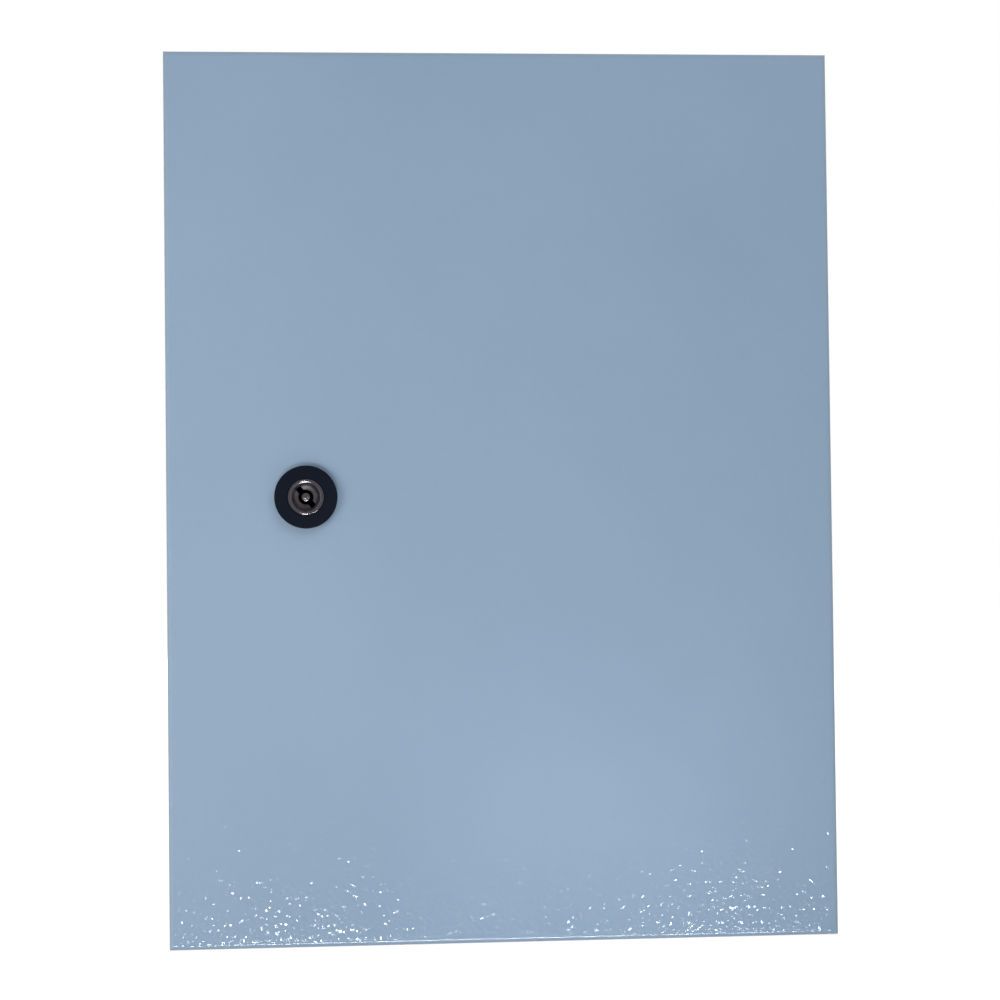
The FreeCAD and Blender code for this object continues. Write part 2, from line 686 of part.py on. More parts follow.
def make_lock_insert():
    body = new_body("lock_insert")
    rim = "insert_across/2"
    mouth_floor = f"{INSERT_DISH} + socket_mouth_depth"
    turned(body, "XY_Plane", [
        ("0", INSERT_DISH), ("socket_pin/2", INSERT_DISH), ("socket_pin/2", mouth_floor),
        ("socket_across/2", mouth_floor), ("socket_mouth/2", INSERT_DISH),
        (f"{rim} - insert_rim_width", INSERT_DISH),
        (f"{rim} - insert_rim_width", INSERT_FRONT), (rim, INSERT_FRONT), (rim, INSERT_BACK),
        ("insert_shank/2", INSERT_BACK), ("insert_shank/2", CAM_BEHIND), ("0", CAM_BEHIND)])
    tail_end = f"({CAM_BACK} - cam_clearance/2)"
    tail = sketch_on(body, "XZ_Plane", f"-{tail_end}")
    centred_rectangle(tail, "cam_square/2", "cam_square/2")
    pad(body, tail, f"{tail_end} - {CAM_BEHIND}")
    socket = sketch_on(body, "XZ_Plane", f"-{INSERT_DISH}")
    circle(socket, "socket_across")
    circle(socket, "socket_pin")
    pocket(body, socket, "socket_depth")
    wings = sketch_on(body, "XZ_Plane", f"-{INSERT_DISH}", turn="wing_angle")
    for near, far in (("socket_across*3/8", "wing_across/2"), ("-wing_across/2", "-socket_across*3/8")):
        rectangle(wings, near, far, "-wing_width/2", "wing_width/2")
    pocket(body, wings, "socket_depth")
    thread = sketch_on(body, "XZ_Plane", f"-{tail_end}")
    circle(thread, BOLT_HOLE)
    pocket(body, thread, "cam_bolt_length", back=True)
    return place_lock(body)


def make_lock_cam():
    # at rest the cam hangs down, clear of the body's flange
    body = new_body("lock_cam")
    arm = sketch_on(body, "XZ_Plane", f"-{CAM_BACK}")
    rectangle(arm, "-cam_width/2", "cam_width/2", "-cam_reach", "0")
    pad(body, arm, "cam_thickness")
    low = reach(body.Shape, "z")[0]
    side, front = reach(body.Shape, "x")[0], reach(body.Shape, "y")[0]
    fillet(body, "cam_width/4", lambda edge: runs_along(edge, "y") and lies_at(edge, "z", low))
    chamfer(body, "cam_lead", lambda edge: lies_at(edge, "x", side) and lies_at(edge, "y", front))
    hub = sketch_on(body, "XZ_Plane", f"-{CAM_BACK}")
    circle(hub, "cam_hub")
    pad(body, hub, "cam_thickness")
    square = sketch_on(body, "XZ_Plane", f"-{CAM_BACK}")
    centred_rectangle(square, "(cam_square/2 + thread_clearance)", "(cam_square/2 + thread_clearance)")
    pocket(body, square, "cam_thickness", back=True)
    return place_lock(body)


def make_lock_cam_bolt():
    body = new_body("lock_cam_bolt")
    head = sketch_on(body, "XZ_Plane", f"-({CAM_BACK} + cam_bolt_head)")
    hexagon(head, "cam_bolt_flats")
    pad(body, head, "cam_bolt_head")
    shank = sketch_on(body, "XZ_Plane", f"-{CAM_BACK}")
    circle(shank, "cam_bolt_thread")
    pad(body, shank, "cam_bolt_length")
    return place_lock(body)


# Build every piece, look for faults, then write one file for each

pieces = [make_body_shell(), make_rear_panel(), make_mounting_plate(), *make_plate_fixings(),
          make_gland_plate(), make_gland_gasket(), *make_gland_fixings(), *make_earthing(),
          make_door_panel(), make_door_gasket(), *make_hinge("upper", ""), *make_hinge("lower", "-"),
          make_lock_housing(), make_lock_nut(), make_lock_insert(), make_lock_cam(), make_lock_cam_bolt()]
doc.recompute()

for item in doc.Objects:
    if "Invalid" in item.State or "Error" in item.State:
        raise RuntimeError(f"{item.Label} failed: {item.State}")
for piece in pieces:
    if piece.Shape.isNull() or not piece.Shape.isValid():
        raise RuntimeError(f"{piece.Label} has no valid shape")

os.makedirs("parts", exist_ok=True)
for piece in pieces:
    piece.Shape.exportStep(f"parts/{piece.Label}.step")
print(len(pieces), "pieces written")
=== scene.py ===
import json
import math

import bmesh
import bpy
from mathutils import Euler, Matrix, Vector, noise


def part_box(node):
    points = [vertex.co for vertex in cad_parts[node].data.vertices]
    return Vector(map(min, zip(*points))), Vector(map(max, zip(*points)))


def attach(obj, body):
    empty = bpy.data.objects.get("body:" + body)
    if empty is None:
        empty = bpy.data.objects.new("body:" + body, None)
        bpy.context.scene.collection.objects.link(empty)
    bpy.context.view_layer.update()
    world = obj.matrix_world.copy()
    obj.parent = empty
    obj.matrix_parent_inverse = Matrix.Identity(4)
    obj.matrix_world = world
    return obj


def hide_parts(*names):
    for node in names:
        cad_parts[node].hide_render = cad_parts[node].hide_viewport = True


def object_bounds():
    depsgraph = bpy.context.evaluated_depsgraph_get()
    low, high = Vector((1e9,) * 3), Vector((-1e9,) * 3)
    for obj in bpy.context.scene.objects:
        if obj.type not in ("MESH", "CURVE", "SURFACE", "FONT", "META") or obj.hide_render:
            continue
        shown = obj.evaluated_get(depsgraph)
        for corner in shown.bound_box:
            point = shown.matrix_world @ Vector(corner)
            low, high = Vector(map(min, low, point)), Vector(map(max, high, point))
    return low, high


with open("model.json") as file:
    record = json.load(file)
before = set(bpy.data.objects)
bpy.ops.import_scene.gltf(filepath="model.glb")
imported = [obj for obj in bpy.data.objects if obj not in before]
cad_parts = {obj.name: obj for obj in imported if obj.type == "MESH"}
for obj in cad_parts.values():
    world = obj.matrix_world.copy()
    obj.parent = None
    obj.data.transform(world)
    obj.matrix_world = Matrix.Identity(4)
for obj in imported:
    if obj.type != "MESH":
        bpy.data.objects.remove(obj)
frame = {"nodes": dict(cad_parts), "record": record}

# Wall-mounting sheet-steel enclosure with a closed, blue-grey door and a quarter-turn lock.
# Metres; +X is right, +Y goes back to the wall, +Z is up.

mm = 0.001
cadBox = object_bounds()
nodes = frame["nodes"]
record = frame["record"]
scene = bpy.context.scene
backward, upward = Vector((0, 1, 0)), Vector((0, 0, 1))

bodyOf = {node: body for body, members in record["behaviour"]["bodies"].items() for node in members}
slotOf = {row["node"]: row["material_slot"] for row in record["subparts"]}
# on the door's face, in the middle of the lock
lockPlace = next(Vector(joint["pos_m"]) for joint in record["behaviour"]["joints"]
                 if joint["name"] == "lock_turn")


# Camera, at the photograph's place

cameraView = {
    "place": (-0.0655, -1.1129, -0.0235),
    "turn": (1.5942, 0.0114, -0.0699),
    "lens": 73.44,
    "sensor": 36,
}


def makeCamera():
    data = bpy.data.cameras.new("photoCamera")
    data.lens = cameraView["lens"]
    data.sensor_width = cameraView["sensor"]
    camera = bpy.data.objects.new("photoCamera", data)
    camera.location = cameraView["place"]
    camera.rotation_euler = Euler(cameraView["turn"])
    scene.collection.objects.link(camera)
    scene.camera = camera


# Node helpers, and the groups that several finishes share

def feed(tree, socket, value):
    # links another node's output, or sets a plain value
    if isinstance(value, bpy.types.NodeSocket):
        tree.links.new(value, socket)
    else:
        socket.default_value = value


def mathNode(tree, operation, first, second):
    node = tree.nodes.new("ShaderNodeMath")
    node.operation = operation
    feed(tree, node.inputs[0], first)
    feed(tree, node.inputs[1], second)
    return node.outputs[0]


def vectorNode(tree, operation, first, second):
    node = tree.nodes.new("ShaderNodeVectorMath")
    node.operation = operation
    feed(tree, node.inputs[0], first)
    feed(tree, node.inputs["Scale" if operation == "SCALE" else 1], second)
    return node.outputs["Value" if operation == "DISTANCE" else "Vector"]


def rangeNode(tree, value, low, high, newLow, newHigh):
    # low to high becomes newLow to newHigh; the finishes hold these four in that order
    node = tree.nodes.new("ShaderNodeMapRange")
    labels = ("Value", "From Min", "From Max", "To Min", "To Max")
    for label, number in zip(labels, (value, low, high, newLow, newHigh)):
        feed(tree, node.inputs[label], number)
    return node.outputs[0]


def noiseNode(tree, place, detail, roughness):
    node = tree.nodes.new("ShaderNodeTexNoise")
    for label, value in (("Vector", place), ("Scale", 1.0), ("Detail", detail), ("Roughness", roughness)):
        feed(tree, node.inputs[label], value)
    return node.outputs["Fac"]


def objectPlace(tree):
    return tree.nodes.new("ShaderNodeTexCoord").outputs["Object"]


def cellPlace(tree, cellSize):
    # the place on the object, counted in cells of that size
    return vectorNode(tree, "SCALE", objectPlace(tree), mathNode(tree, "DIVIDE", 1.0, cellSize))


def newGroup(name, inputs, outputs):
    # a group whose sockets are all single numbers
    group = bpy.data.node_groups.new(name, "ShaderNodeTree")
    for label, value in inputs.items():
        socket = group.interface.new_socket(label, in_out="INPUT", socket_type="NodeSocketFloat")
        socket.default_value = value
    for label in outputs:
        group.interface.new_socket(label, in_out="OUTPUT", socket_type="NodeSocketFloat")
    return group, group.nodes.new("NodeGroupInput").outputs, group.nodes.new("NodeGroupOutput").inputs


def makeGrainGroup():
    # coarse and fine relief, and a slow drift in tone
    group, given, result = newGroup(
        "surfaceGrain",
        {"Coarse Size": 0.003, "Fine Size": 0.001, "Fine Share": 0.3, "Pimple Share": 0.0,
         "Drift Size": 0.08},
        ("Height", "Drift"))
    coarse = noiseNode(group, cellPlace(group, given["Coarse Size"]), 0.0, 0.5)
    fine = noiseNode(group, cellPlace(group, given["Fine Size"]), 2.0, 0.6)
    drift = noiseNode(group, cellPlace(group, given["Drift Size"]), 2.0, 0.5)
    relief = mathNode(group, "ADD", coarse, mathNode(group, "MULTIPLY", fine, given["Fine Share"]))
    # a pimple stands wherever the fine relief is at its highest
    pimples = mathNode(group, "MULTIPLY", rangeNode(group, fine, 0.62, 0.76, 0, 1), given["Pimple Share"])
    group.links.new(mathNode(group, "ADD", relief, pimples), result["Height"])
    group.links.new(drift, result["Drift"])
    return group


def makeEdgeGroup():
    # 1 along the border of a flat sheet that lies in X and Z, 0 further in
    group, given, result = newGroup(
        "sheetEdge",
        {"Half Width": 0.15, "Half Height": 0.2, "Band Start": 0.006, "Band End": 0.002},
        ("Band",))
    parts = group.nodes.new("ShaderNodeSeparateXYZ")
    group.links.new(objectPlace(group), parts.inputs[0])
    left = [mathNode(group, "SUBTRACT", given[label], mathNode(group, "ABSOLUTE", parts.outputs[axis], 0.0))
            for label, axis in (("Half Width", "X"), ("Half Height", "Z"))]
    band = rangeNode(group, mathNode(group, "MINIMUM", *left), given["Band Start"], given["Band End"], 0, 1)
    band.node.interpolation_type = "SMOOTHSTEP"
    group.links.new(band, result["Band"])
    return group


def makeCellGroup():
    # cells with wavy borders: a tone for each, and the distance to its border
    group, given, result = newGroup("crystalCells", {"Cell Size": 0.01, "Warp": 0.4}, ("Tone", "Border"))
    place = cellPlace(group, given["Cell Size"])
    wobble = group.nodes.new("ShaderNodeTexNoise")
    wobble.inputs["Scale"].default_value = 1.3
    group.links.new(place, wobble.inputs["Vector"])
    shift = vectorNode(group, "SCALE", wobble.outputs["Color"], given["Warp"])
    warped = vectorNode(group, "ADD", place, shift)
    cells, borders = group.nodes.new("ShaderNodeTexVoronoi"), group.nodes.new("ShaderNodeTexVoronoi")
    borders.feature = "DISTANCE_TO_EDGE"
    for texture in (cells, borders):
        texture.inputs["Scale"].default_value = 1.0
        group.links.new(warped, texture.inputs["Vector"])
    tone = group.nodes.new("ShaderNodeSeparateColor")
    group.links.new(cells.outputs["Color"], tone.inputs[0])
    group.links.new(tone.outputs[0], result["Tone"])
    group.links.new(borders.outputs["Distance"], result["Border"])
    return group


# Materials

def newMaterial(name, values):
    material = bpy.data.materials.new(name)
    material.use_nodes = True
    shader = material.node_tree.nodes["Principled BSDF"]
    for label, value in values.items():
        shader.inputs[label].default_value = value
    return material, material.node_tree, shader.inputs


def placeGroup(tree, group, values):
    node = tree.nodes.new("ShaderNodeGroup")
    node.node_tree = group
    for label, value in values.items():
        node.inputs[label].default_value = value
    return node.outputs


def blendColours(tree, share, dark, light):
    # dark and light are colours, or other nodes' outputs
    node = tree.nodes.new("ShaderNodeMix")
    node.data_type = "RGBA"
    feed(tree, node.inputs[0], share)
    for socket, colour in zip(node.inputs[6:8], (dark, light)):
        feed(tree, socket, (*colour, 1) if isinstance(colour, tuple) else colour)
    return node.outputs[2]


def addBump(tree, sockets, height, depth):
    bump = tree.nodes.new("ShaderNodeBump")
    bump.inputs["Strength"].default_value = 1.0
    bump.inputs["Distance"].default_value = depth
    tree.links.new(height, bump.inputs["Height"])
    tree.links.new(bump.outputs["Normal"], sockets["Normal"])


coat = {
    "dark": (0.236, 0.342, 0.470),
    "light": (0.250, 0.357, 0.487),
    "tone": (0.3, 0.7, 0, 1),
    "roughness": (0.045, 0.06),
    "grain": {"Coarse Size": 2.1 * mm, "Fine Size": 1.05 * mm, "Fine Share": 0.06, "Pimple Share": 0.35,
              "Drift Size": 90 * mm},
    "depth": 0.14 * mm,
}

doorRoll = {"start": 4.5 * mm, "end": 2.4 * mm, "drop": 0.3}


def makeCoat(grain, name, edge=None):
    # glossy powder coat with a slight orange peel
    material, tree, sockets = newMaterial(name, {"IOR": 1.5})
    texture = placeGroup(tree, grain, coat["grain"])
    tone = rangeNode(tree, texture["Drift"], *coat["tone"])
    tree.links.new(blendColours(tree, tone, coat["dark"], coat["light"]), sockets["Base Color"])
    tree.links.new(rangeNode(tree, tone, 0, 1, *coat["roughness"]), sockets["Roughness"])
    height = texture["Height"]
    if edge:
        # the sheet rolls off a little towards the folds
        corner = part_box("door_panel")[1]
        border = placeGroup(tree, edge, {"Half Width": corner.x, "Half Height": corner.z,
                                         "Band Start": doorRoll["start"], "Band End": doorRoll["end"]})
        height = mathNode(tree, "SUBTRACT", height, mathNode(tree, "MULTIPLY", border["Band"],
                                                             doorRoll["drop"]))
    addBump(tree, sockets, height, coat["depth"])
    return material


galvanised = {
    "dark": (0.44, 0.46, 0.47),
    "light": (0.60, 0.62, 0.63),
    "roughness": (0.30, 0.52),
    "cells": {"Cell Size": 6.5 * mm, "Warp": 0.7},
    "grain": {"Coarse Size": 1.2 * mm, "Fine Size": 0.4 * mm, "Fine Share": 0.5, "Drift Size": 60 * mm},
    "depth": 0.012 * mm,
}


def makeGalvanised(grain, cells):
    material, tree, sockets = newMaterial("galvanisedSheet", {"Metallic": 1.0})
    tone = placeGroup(tree, cells, galvanised["cells"])["Tone"]
    texture = placeGroup(tree, grain, galvanised["grain"])
    tree.links.new(blendColours(tree, tone, galvanised["dark"], galvanised["light"]), sockets["Base Color"])
    tree.links.new(rangeNode(tree, tone, 0, 1, *galvanised["roughness"]), sockets["Roughness"])
    addBump(tree, sockets, texture["Height"], galvanised["depth"])
    return material


zinc = {
    "dark": (0.42, 0.42, 0.40),
    "light": (0.66, 0.66, 0.63),
    "dullness": (0.3, 0.7, 0.24, 0.40),
    "grain": {"Coarse Size": 1.6 * mm, "Fine Size": 0.35 * mm, "Fine Share": 0.6, "Drift Size": 7 * mm},
    "depth": 0.01 * mm,
}


def makeZinc(grain):
    material, tree, sockets = newMaterial("brightZinc", {"Metallic": 1.0})
    texture = placeGroup(tree, grain, zinc["grain"])
    tree.links.new(blendColours(tree, texture["Drift"], zinc["dark"], zinc["light"]), sockets["Base Color"])
    tree.links.new(rangeNode(tree, texture["Drift"], *zinc["dullness"]), sockets["Roughness"])
    addBump(tree, sockets, texture["Height"], zinc["depth"])
    return material


foam = {
    "dark": (0.018, 0.018, 0.020),
    "light": (0.042, 0.042, 0.045),
    "surface": {"Roughness": 0.82, "Specular IOR Level": 0.3},
    "pores": {"Cell Size": 0.45 * mm, "Warp": 0.3},
    "poreWall": (0.0, 0.35, 0.0, 0.6),
    "grain": {"Coarse Size": 2.5 * mm, "Fine Size": 0.5 * mm, "Fine Share": 0.5, "Drift Size": 20 * mm},
    "depth": 0.09 * mm,
}


def makeFoam(grain, cells):
    material, tree, sockets = newMaterial("sealFoam", foam["surface"])
    pores = placeGroup(tree, cells, foam["pores"])
    texture = placeGroup(tree, grain, foam["grain"])
    tree.links.new(blendColours(tree, texture["Drift"], foam["dark"], foam["light"]), sockets["Base Color"])
    height = mathNode(tree, "ADD", rangeNode(tree, pores["Border"], *foam["poreWall"]), texture["Height"])
    addBump(tree, sockets, height, foam["depth"])
    return material


lockBlack = {
    "dark": (0.0040, 0.0062, 0.0135),
    "light": (0.0056, 0.0085, 0.017),
    "surface": {"Roughness": 0.45, "Specular IOR Level": 0.06},
    "grain": {"Coarse Size": 0.8 * mm, "Fine Size": 0.25 * mm, "Fine Share": 0.4, "Drift Size": 14 * mm},
    "depth": 0.012 * mm,
}


def makeLockBlack(grain):
    material, tree, sockets = newMaterial("satinBlack", lockBlack["surface"])
    texture = placeGroup(tree, grain, lockBlack["grain"])
    tree.links.new(blendColours(tree, texture["Drift"], lockBlack["dark"], lockBlack["light"]),
                   sockets["Base Color"])
    addBump(tree, sockets, texture["Height"], lockBlack["depth"])
    return material


dieCast = {
    "dark": (0.022, 0.020, 0.025),
    "light": (0.055, 0.050, 0.060),
    "worn": (0.22, 0.21, 0.225),
    "tone": (0.35, 0.65, 0, 1),
    "roughness": (0.5, 0.1),
    "pinReach": (2.1 * mm, 1.9 * mm, 0, 1),
    "rimReach": (6.3 * mm, 6.6 * mm, 0, 1),
    "coneReach": (5.3 * mm, 4.7 * mm, 0, 0.3),
    "grain": {"Coarse Size": 1.7 * mm, "Fine Size": 0.3 * mm, "Fine Share": 0.5, "Drift Size": 3.5 * mm},
    "depth": 0.03 * mm,
}


def makeDieCast(grain):
    # dark casting, dull on the face, cleaner in the socket's cone, worn shiny on the pin and along the rim
    material, tree, sockets = newMaterial("darkDieCast", {"Metallic": 1.0})
    texture = placeGroup(tree, grain, dieCast["grain"])
    flat = vectorNode(tree, "MULTIPLY", objectPlace(tree), (1, 0, 1))
    reach = vectorNode(tree, "DISTANCE", flat, (lockPlace.x, 0, lockPlace.z))
    pin, rim, cone = (rangeNode(tree, reach, *dieCast[part])
                      for part in ("pinReach", "rimReach", "coneReach"))
    worn = mathNode(tree, "MAXIMUM", pin, rim)
    face = blendColours(tree, rangeNode(tree, texture["Drift"], *dieCast["tone"]),
                        dieCast["dark"], dieCast["light"])
    colour = blendColours(tree, mathNode(tree, "MAXIMUM", worn, cone), face, dieCast["worn"])
    tree.links.new(colour, sockets["Base Color"])
    tree.links.new(rangeNode(tree, worn, 0, 1, *dieCast["roughness"]), sockets["Roughness"])
    addBump(tree, sockets, texture["Height"], dieCast["depth"])
    return material


def makeMaterials():
    grain, cells = makeGrainGroup(), makeCellGroup()
    return {
        "blue_grey_coat": makeCoat(grain, "bodyCoat"),
        "doorCoat": makeCoat(grain, "doorCoat", makeEdgeGroup()),
        "galvanised_plate": makeGalvanised(grain, cells),
        "zinc_fasteners": makeZinc(grain),
        "seal_foam": makeFoam(grain, cells),
        "black_lock_body": makeLockBlack(grain),
        "dark_die_cast": makeDieCast(grain),
    }


# Mesh helpers

def towards(origin, axis):
    # a frame at that point whose upright direction is the axis
    turn = upward.rotation_difference(Vector(axis)).to_matrix().to_4x4()
    return Matrix.Translation(Vector(origin)) @ turn


def addPiece(name, mesh, slotName, body, sharpAngle):
    mesh.shade_smooth()
    mesh.set_sharp_from_angle(angle=math.radians(sharpAngle))
    mesh.materials.append(materials[slotName])
    piece = bpy.data.objects.new(name, mesh)
    scene.collection.objects.link(piece)
    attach(piece, body)
    return piece


def finishPiece(name, shape, slotName, body, sharpAngle):
    points, faces = shape
    mesh = bpy.data.meshes.new(name)
    mesh.from_pydata([tuple(point) for point in points], [], faces)
    mesh.validate()
    return addPiece(name, mesh, slotName, body, sharpAngle)


def joinRings(rings, closed):
    # quads between neighbouring rings of points; an open row of rings gets flat ends
    count = len(rings[0])
    points = [point for ring in rings for point in ring]
    faces = []
    for row in range(len(rings) if closed else len(rings) - 1):
        here, there = row * count, (row + 1) % len(rings) * count
        for k in range(count):
            following = (k + 1) % count
            faces.append((here + k, here + following, there + following, there + k))
    if not closed:
        last = (len(rings) - 1) * count
        faces.append(tuple(reversed(range(count))))
        faces.append(tuple(last + k for k in range(count)))
    return points, faces


def merged(shapes):
    points, faces = [], []
    for shapePoints, shapeFaces in shapes:
        start = len(points)
        points += shapePoints
        faces += [tuple(start + k for k in face) for face in shapeFaces]
    return points, faces


def moved(shape, place):
    return [place @ Vector(point) for point in shape[0]], shape[1]


def circlePoints(radius, height, count):
    # radius and height may each be a number or a function of the angle
    ring = []
    for k in range(count):
        angle = 2 * math.pi * k / count
        reach, level = (value(angle) if callable(value) else value for value in (radius, height))
        ring.append((reach * math.cos(angle), reach * math.sin(angle), level))
    return ring


def turnedShape(profile, count, closed):
    # a profile of radius and height turned once round: closed and hollow, or open with flat ends
    return joinRings([circlePoints(radius, height, count) for radius, height in profile], closed)


# Fasteners

hexEdge = {"count": 72, "face": 0.97, "slope": math.tan(math.radians(30)), "sink": 0.09, "flangeEdge": 0.35}


def hexReach(flats):
    def reach(angle):
        within = (angle + math.pi / 6) % (math.pi / 3) - math.pi / 6
        return flats / 2 / math.cos(within)
    return reach


def hexCorners(flats, base, sign):
    # radius and height round a hexagon whose corners are turned off
    across = hexReach(flats)
    face = flats / 2 * hexEdge["face"]
    return across, lambda angle: base - sign * max(0.0, across(angle) - face) * hexEdge["slope"]


def nutShape(size):
    # hexagon with turned-off corners, a countersunk bore and perhaps a flange under it
    flats, height, bore, flange = size["flats"], size["height"], size["bore"], size["flange"]
    face = flats / 2 * hexEdge["face"]
    sink = bore * hexEdge["sink"]
    profile = [(bore, sink), (bore + sink, 0.0)]
    if flange:
        edge = size["flangeHeight"] * hexEdge["flangeEdge"]
        profile += [(flange - edge * 0.5, 0.0), (flange, edge * 0.5), (flange, edge),
                    (hexReach(flats), size["flangeHeight"])]
    else:
        profile += [(face, 0.0), hexCorners(flats, 0.0, -1)]
    profile += [hexCorners(flats, height, 1), (face, height), (bore + sink, height), (bore, height - sink)]
    return turnedShape(profile, hexEdge["count"], True)


threadForm = {
    "depth": 0.6,   # this and the run-out are shares of the pitch
    "runOut": 0.9,
    "wave": ((0.0, 0.0), (0.12, 0.0), (0.5, 1.0), (0.62, 1.0)),   # share of the pitch, share of the depth
    "sharpAngle": 28,
}


def threadRows(radius, length, pitch, count, flats=None):
    # rows follow the helix, and both ends run out to the root so that they close flat
    depth = pitch * threadForm["depth"]
    runOut = pitch * threadForm["runOut"]
    rows = []
    for turn in range(-1, int(length / pitch) + 2):
        for phase, cut in threadForm["wave"]:
            row = []
            for k in range(count + 1):
                height = min(max((turn + phase + k / count) * pitch, 0.0), length)
                risen = min(1.0, min(height, length - height) / runOut)
                reach = min(radius - depth * cut, radius - depth * 1.05 + depth * 1.1 * risen)
                angle = 2 * math.pi * k / count
                x, y = reach * math.cos(angle), reach * math.sin(angle)
                if flats:
                    y = max(-flats / 2, min(flats / 2, y))
                row.append((x, y, height))
            rows.append(row)
    return rows


def layRows(work, rows, place):
    # quads between neighbouring rows of points
    grid = [[work.verts.new(place @ Vector(point)) for point in row] for row in rows]
    for upper, lower in zip(grid, grid[1:]):
        for k in range(len(upper) - 1):
            work.faces.new((upper[k], upper[k + 1], lower[k + 1], lower[k]))


def joinDoubles(work):
    bmesh.ops.remove_doubles(work, verts=work.verts, dist=2e-6)
    bmesh.ops.dissolve_degenerate(work, edges=work.edges, dist=1e-6)


def threadedPiece(name, work, slotName, body):
    bmesh.ops.recalc_face_normals(work, faces=work.faces)
    mesh = bpy.data.meshes.new(name)
    work.to_mesh(mesh)
    work.free()
    return addPiece(name, mesh, slotName, body, threadForm["sharpAngle"])


setSpread = 40 * mm   # a node that reaches further across is a set of solids, one in each quarter


def nodePlaces(node, axis):
    # one frame for each separate solid of a node, at the end where it starts along the axis
    low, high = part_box(node)
    middle = (low + high) / 2
    along = max(range(3), key=lambda k: abs(axis[k]))
    others = [k for k in range(3) if k != along]
    alone = max(high[k] - low[k] for k in others) < setSpread
    solids = {}
    for vertex in nodes[node].data.vertices:
        key = () if alone else tuple(vertex.co[k] > middle[k] for k in others)
        solids.setdefault(key, []).append(vertex.co)
    first = min if axis[along] > 0 else max
    places = []
    for points in solids.values():
        start = Vector([(min(p[k] for p in points) + max(p[k] for p in points)) / 2 for k in range(3)])
        start[along] = first(p[along] for p in points)
        places.append(towards(start, axis))
    return places


def camel(node):
    words = node.split("_")
    return words[0] + "".join(word.capitalize() for word in words[1:])


studThreads = {
    "plate_studs": {"axis": (0, -1, 0), "radius": 4.0 * mm, "length": 14 * mm, "pitch": 1.25 * mm},
    "gland_studs": {"axis": (0, 0, 1), "radius": 2.5 * mm, "length": 14 * mm, "pitch": 0.8 * mm},
    "body_earth_stud": {"axis": (-1, 0, 0), "radius": 3.0 * mm, "length": 16 * mm, "pitch": 1.0 * mm},
    "door_earth_stud": {"axis": (0, 1, 0), "radius": 3.0 * mm, "length": 16 * mm, "pitch": 1.0 * mm},
}

threadCount = 28   # points round a stud


def makeStuds():
    for node, size in studThreads.items():
        rows = threadRows(size["radius"], size["length"], size["pitch"], threadCount)
        work = bmesh.new()
        for place in nodePlaces(node, size["axis"]):
            layRows(work, rows, place)
        joinDoubles(work)
        bmesh.ops.holes_fill(work, edges=[edge for edge in work.edges if edge.is_boundary], sides=0)
        piece = threadedPiece(camel(node) + "Threaded", work, slotOf[node], bodyOf[node])
        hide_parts(node)


nutShapes = {
    "plate_nuts": {"axis": (0, -1, 0), "flats": 13 * mm, "height": 6.5 * mm, "bore": 4.05 * mm,
                   "flange": 8.8 * mm, "flangeHeight": 1.9 * mm},
    "gland_nuts": {"axis": (0, 0, 1), "flats": 8 * mm, "height": 4.7 * mm, "bore": 2.55 * mm,
                   "flange": 4.95 * mm, "flangeHeight": 1.3 * mm},
    "body_earth_nut": {"axis": (-1, 0, 0), "flats": 10 * mm, "height": 5 * mm, "bore": 3.05 * mm,
                       "flange": 7.0 * mm, "flangeHeight": 1.5 * mm},
    "door_earth_nut": {"axis": (0, 1, 0), "flats": 10 * mm, "height": 5 * mm, "bore": 3.05 * mm,
                       "flange": 7.0 * mm, "flangeHeight": 1.5 * mm},
    "lock_nut": {"axis": (0, 1, 0), "flats": 27 * mm, "height": 5 * mm, "bore": 10.95 * mm, "flange": 0.0,
                 "turn": 30},
}


def makeNuts():
    for node, size in nutShapes.items():
        shape = nutShape(size)
        turn = Matrix.Rotation(math.radians(size.get("turn", 0)), 4, "Z")
        shapes = [moved(shape, place @ turn) for place in nodePlaces(node, size["axis"])]
        piece = finishPiece(camel(node) + "Chamfered", merged(shapes), slotOf[node], bodyOf[node], 30)
        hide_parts(node)


spacerShape = {"axis": (0, -1, 0), "flats": 15 * mm, "length": 16 * mm}


def makeSpacers():
    # hexagonal stand-offs with their corners turned off at both ends
    flats, length = spacerShape["flats"], spacerShape["length"]
    face = flats / 2 * hexEdge["face"]
    profile = [(face, 0.0), hexCorners(flats, 0.0, -1), hexCorners(flats, length, 1), (face, length)]
    shape = turnedShape(profile, hexEdge["count"], False)
    shapes = [moved(shape, place) for place in nodePlaces("plate_spacers", spacerShape["axis"])]
    piece = finishPiece("plateSpacersTurned", merged(shapes), "zinc_fasteners", "enclosure", 30)
    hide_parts("plate_spacers")


# The foamed door seal: domed, pressed in by the lip, with the join where it was begun and ended

doorSeal = {
    "halfX": 121.25 * mm,
    "halfZ": 171.25 * mm,
    "cornerRadius": 8 * mm,
    "width": 12 * mm,
    "height": 5.95 * mm,
    "base": -198.5 * mm,
    "step": 2.5 * mm,
    "across": (0.13, 0.24, 0.36, 0.52, 0.7, 0.84, 0.93, 0.985, 1),   # shares of half the width
    "dome": (2.4, 0.55),   # powers: a flat crown, and full sides
    "imprintDepth": 0.55 * mm,
    "imprintWidth": 1.3 * mm,
    "joinAt": 18 * mm,
    "joinLength": 9 * mm,
    "joinSwell": (0.07, 0.03),   # in width and in height
    "slowRate": 38,
    "quickRate": 160,
    "uneven": {"slowWidth": 0.025, "quickWidth": 0.012, "slowHeight": 0.012},
    "sway": 0.25 * mm,
    "swayRate": 22,
}


